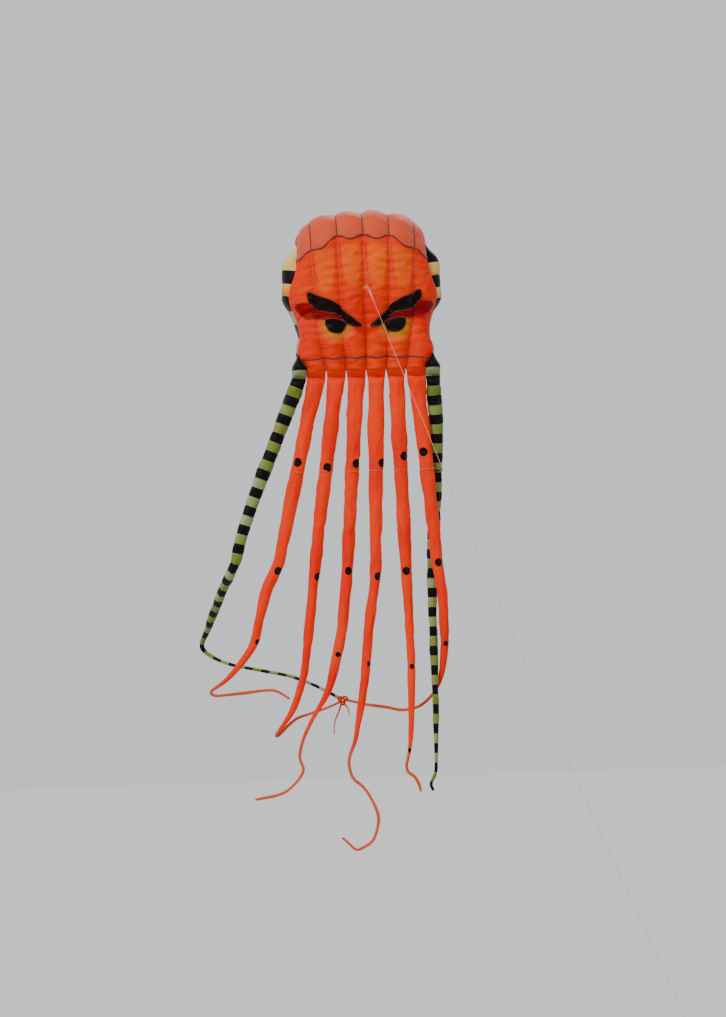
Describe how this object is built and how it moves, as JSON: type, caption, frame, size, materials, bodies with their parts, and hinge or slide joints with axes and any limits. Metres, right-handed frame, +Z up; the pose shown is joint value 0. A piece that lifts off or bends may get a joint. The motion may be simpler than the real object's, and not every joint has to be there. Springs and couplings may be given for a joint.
{
  "type": "octopus kite",
  "caption": "Soft octopus kite: a ribbed ram-air head with a sewn frowning face, long tapering inflated legs, a bridle with tow ring and snap hook, and a flying line with an end loop.",
  "frame": {"origin": "centre of the tow ring in front of the face", "axes": "+Z up through the crown of the upright head, the face looks along -Y into the wind, +X to the right of someone facing the face"},
  "size_m": [4.7995, 3.9745, 9.0566],
  "materials": {
    "orange_nylon": "glossy ripstop",
    "coral_gauze": "translucent gauze",
    "dark_red_tape": "matt woven tape",
    "yellow_nylon": "glossy ripstop",
    "black_nylon": "glossy ripstop",
    "olive_nylon": "glossy ripstop",
    "red_nylon": "glossy ripstop",
    "mustard_nylon": "glossy ripstop",
    "coral_webbing": "matt webbing",
    "stainless_steel": "polished",
    "line_cord": "braided cord"
  },
  "bodies": {
    "head": {"face_gore_1": "orange_nylon", "face_gore_2": "orange_nylon", "face_gore_3": "orange_nylon", "face_gore_4": "orange_nylon", "face_gore_5": "orange_nylon", "face_gore_6": "orange_nylon", "back_gores_inner": "orange_nylon", "back_gores_middle": "orange_nylon", "back_gores_outer": "orange_nylon", "rib_centre": "orange_nylon", "ribs_inner": "orange_nylon", "ribs_middle": "orange_nylon", "ribs_outer": "orange_nylon", "intake_screens": "coral_gauze", "lip_tape": "dark_red_tape", "hem_tape": "dark_red_tape", "side_cell_left_yellow": "yellow_nylon", "side_cell_left_black": "black_nylon", "eyebrow_left": "black_nylon", "eyelid_left": "red_nylon", "pupil_left": "black_nylon", "eye_left": "mustard_nylon", "side_cell_right_yellow": "yellow_nylon", "side_cell_right_black": "black_nylon", "eyebrow_right": "black_nylon", "eyelid_right": "red_nylon", "pupil_right": "black_nylon", "eye_right": "mustard_nylon", "bridle_tabs": "coral_webbing", "bridle_lines": "line_cord", "tow_ring": "stainless_steel"},
    "snap": {"snap_hook": "stainless_steel"},
    "snap_gate": {"snap_gate": "stainless_steel"},
    "line": {"swivel_eye": "stainless_steel", "line_knot": "line_cord", "flying_line": "line_cord", "line_end_loop": "line_cord"},
    "leg_3_upper": {"leg_3_upper": "orange_nylon"},
    "leg_1_upper": {"leg_1_upper": "orange_nylon"},
    "leg_2_upper": {"leg_2_upper": "orange_nylon"},
    "leg_4_upper": {"leg_4_upper": "orange_nylon"},
    "leg_5_upper": {"leg_5_upper": "orange_nylon"},
    "leg_6_upper": {"leg_6_upper": "orange_nylon"},
    "striped_leg_left_upper": {"striped_leg_left_upper_yellow": "olive_nylon", "striped_leg_left_upper_black": "black_nylon"},
    "striped_leg_right_upper": {"striped_leg_right_upper_yellow": "olive_nylon", "striped_leg_right_upper_black": "black_nylon"},
    "striped_leg_left_lower": {"striped_leg_left_lower_yellow": "olive_nylon", "striped_leg_left_lower_black": "black_nylon"},
    "leg_1_lower": {"leg_1_lower": "orange_nylon"},
    "leg_2_lower": {"leg_2_lower": "orange_nylon"},
    "leg_6_lower": {"leg_6_lower": "orange_nylon"},
    "striped_leg_right_lower": {"striped_leg_right_lower_yellow": "olive_nylon", "striped_leg_right_lower_black": "black_nylon"},
    "leg_3_lower": {"leg_3_lower": "orange_nylon"},
    "leg_4_lower": {"leg_4_lower": "orange_nylon"},
    "leg_5_lower": {"leg_5_lower": "orange_nylon"}
  },
  "joints": [
    {"name": "line_pitch", "type": "hinge", "parent": "head", "child": "snap", "pos_m": [0, 0, 0], "axis": [0.9403, 0, 0.3404], "range_deg": [-25, 8]},
    {"name": "snap_gate", "type": "hinge", "parent": "snap", "child": "snap_gate", "pos_m": [0.02511, -0.01222, -0.04587], "axis": [-0.0783, -0.9732, 0.2164], "range_deg": [0, 20], "stiffness_Nm_per_rad": 0.15},
    {"name": "line_spin", "type": "hinge", "parent": "snap", "child": "line", "pos_m": [0, 0, 0], "axis": [0.3312, -0.2302, -0.9151], "continuous": true},
    {"name": "leg_3_swing", "type": "hinge", "parent": "head", "child": "leg_3_upper", "pos_m": [-0.107, 0.54, -0.9], "axis": [1, 0, 0], "range_deg": [-15, 45]},
    {"name": "leg_1_swing", "type": "hinge", "parent": "head", "child": "leg_1_upper", "pos_m": [-0.537, 0.54, -0.9], "axis": [1, 0, 0], "range_deg": [-15, 45]},
    {"name": "leg_2_swing", "type": "hinge", "parent": "head", "child": "leg_2_upper", "pos_m": [-0.321, 0.54, -0.9], "axis": [1, 0, 0], "range_deg": [-15, 45]},
    {"name": "leg_4_swing", "type": "hinge", "parent": "head", "child": "leg_4_upper", "pos_m": [0.107, 0.54, -0.9], "axis": [1, 0, 0], "range_deg": [-15, 45]},
    {"name": "leg_5_swing", "type": "hinge", "parent": "head", "child": "leg_5_upper", "pos_m": [0.321, 0.54, -0.9], "axis": [1, 0, 0], "range_deg": [-15, 45]},
    {"name": "leg_6_swing", "type": "hinge", "parent": "head", "child": "leg_6_upper", "pos_m": [0.537, 0.54, -0.9], "axis": [1, 0, 0], "range_deg": [-15, 45]},
    {"name": "striped_leg_left_swing", "type": "hinge", "parent": "head", "child": "striped_leg_left_upper", "pos_m": [-0.716, 0.54, -0.9], "axis": [1, 0, 0], "range_deg": [-15, 45]},
    {"name": "striped_leg_right_swing", "type": "hinge", "parent": "head", "child": "striped_leg_right_upper", "pos_m": [0.716, 0.54, -0.9], "axis": [1, 0, 0], "range_deg": [-15, 45]},
    {"name": "striped_leg_left_bend", "type": "hinge", "parent": "striped_leg_left_upper", "child": "striped_leg_left_lower", "pos_m": [-1.46, 0.72, -2.85], "axis": [1, 0, 0], "range_deg": [0, 20]},
    {"name": "leg_1_bend", "type": "hinge", "parent": "leg_1_upper", "child": "leg_1_lower", "pos_m": [-0.99, 0.72, -2.85], "axis": [1, 0, 0], "range_deg": [0, 20]},
    {"name": "leg_2_bend", "type": "hinge", "parent": "leg_2_upper", "child": "leg_2_lower", "pos_m": [-0.6, 0.72, -2.85], "axis": [1, 0, 0], "range_deg": [0, 20]},
    {"name": "leg_6_bend", "type": "hinge", "parent": "leg_6_upper", "child": "leg_6_lower", "pos_m": [0.71, 0.72, -2.85], "axis": [1, 0, 0], "range_deg": [0, 20]},
    {"name": "striped_leg_right_bend", "type": "hinge", "parent": "striped_leg_right_upper", "child": "striped_leg_right_lower", "pos_m": [0.68, 0.9, -2.85], "axis": [1, 0, 0], "range_deg": [0, 20]},
    {"name": "leg_3_bend", "type": "hinge", "parent": "leg_3_upper", "child": "leg_3_lower", "pos_m": [-0.25, 0.72, -2.85], "axis": [1, 0, 0], "range_deg": [-40, 0]},
    {"name": "leg_4_bend", "type": "hinge", "parent": "leg_4_upper", "child": "leg_4_lower", "pos_m": [0.05, 0.72, -2.85], "axis": [1, 0, 0], "range_deg": [-40, 0]},
    {"name": "leg_5_bend", "type": "hinge", "parent": "leg_5_upper", "child": "leg_5_lower", "pos_m": [0.37, 0.72, -2.85], "axis": [1, 0, 0], "range_deg": [-40, 0]}
  ],
  "couplings": [
    {"joint": "leg_1_swing", "follows": "leg_3_swing", "ratio": 1},
    {"joint": "leg_2_swing", "follows": "leg_3_swing", "ratio": 1},
    {"joint": "leg_4_swing", "follows": "leg_3_swing", "ratio": 1},
    {"joint": "leg_5_swing", "follows": "leg_3_swing", "ratio": 1},
    {"joint": "leg_6_swing", "follows": "leg_3_swing", "ratio": 1},
    {"joint": "striped_leg_left_swing", "follows": "leg_3_swing", "ratio": 1},
    {"joint": "striped_leg_right_swing", "follows": "leg_3_swing", "ratio": 1},
    {"joint": "leg_1_bend", "follows": "striped_leg_left_bend", "ratio": 1},
    {"joint": "leg_2_bend", "follows": "striped_leg_left_bend", "ratio": 1},
    {"joint": "leg_6_bend", "follows": "striped_leg_left_bend", "ratio": 1},
    {"joint": "striped_leg_right_bend", "follows": "striped_leg_left_bend", "ratio": 1}
  ]
}
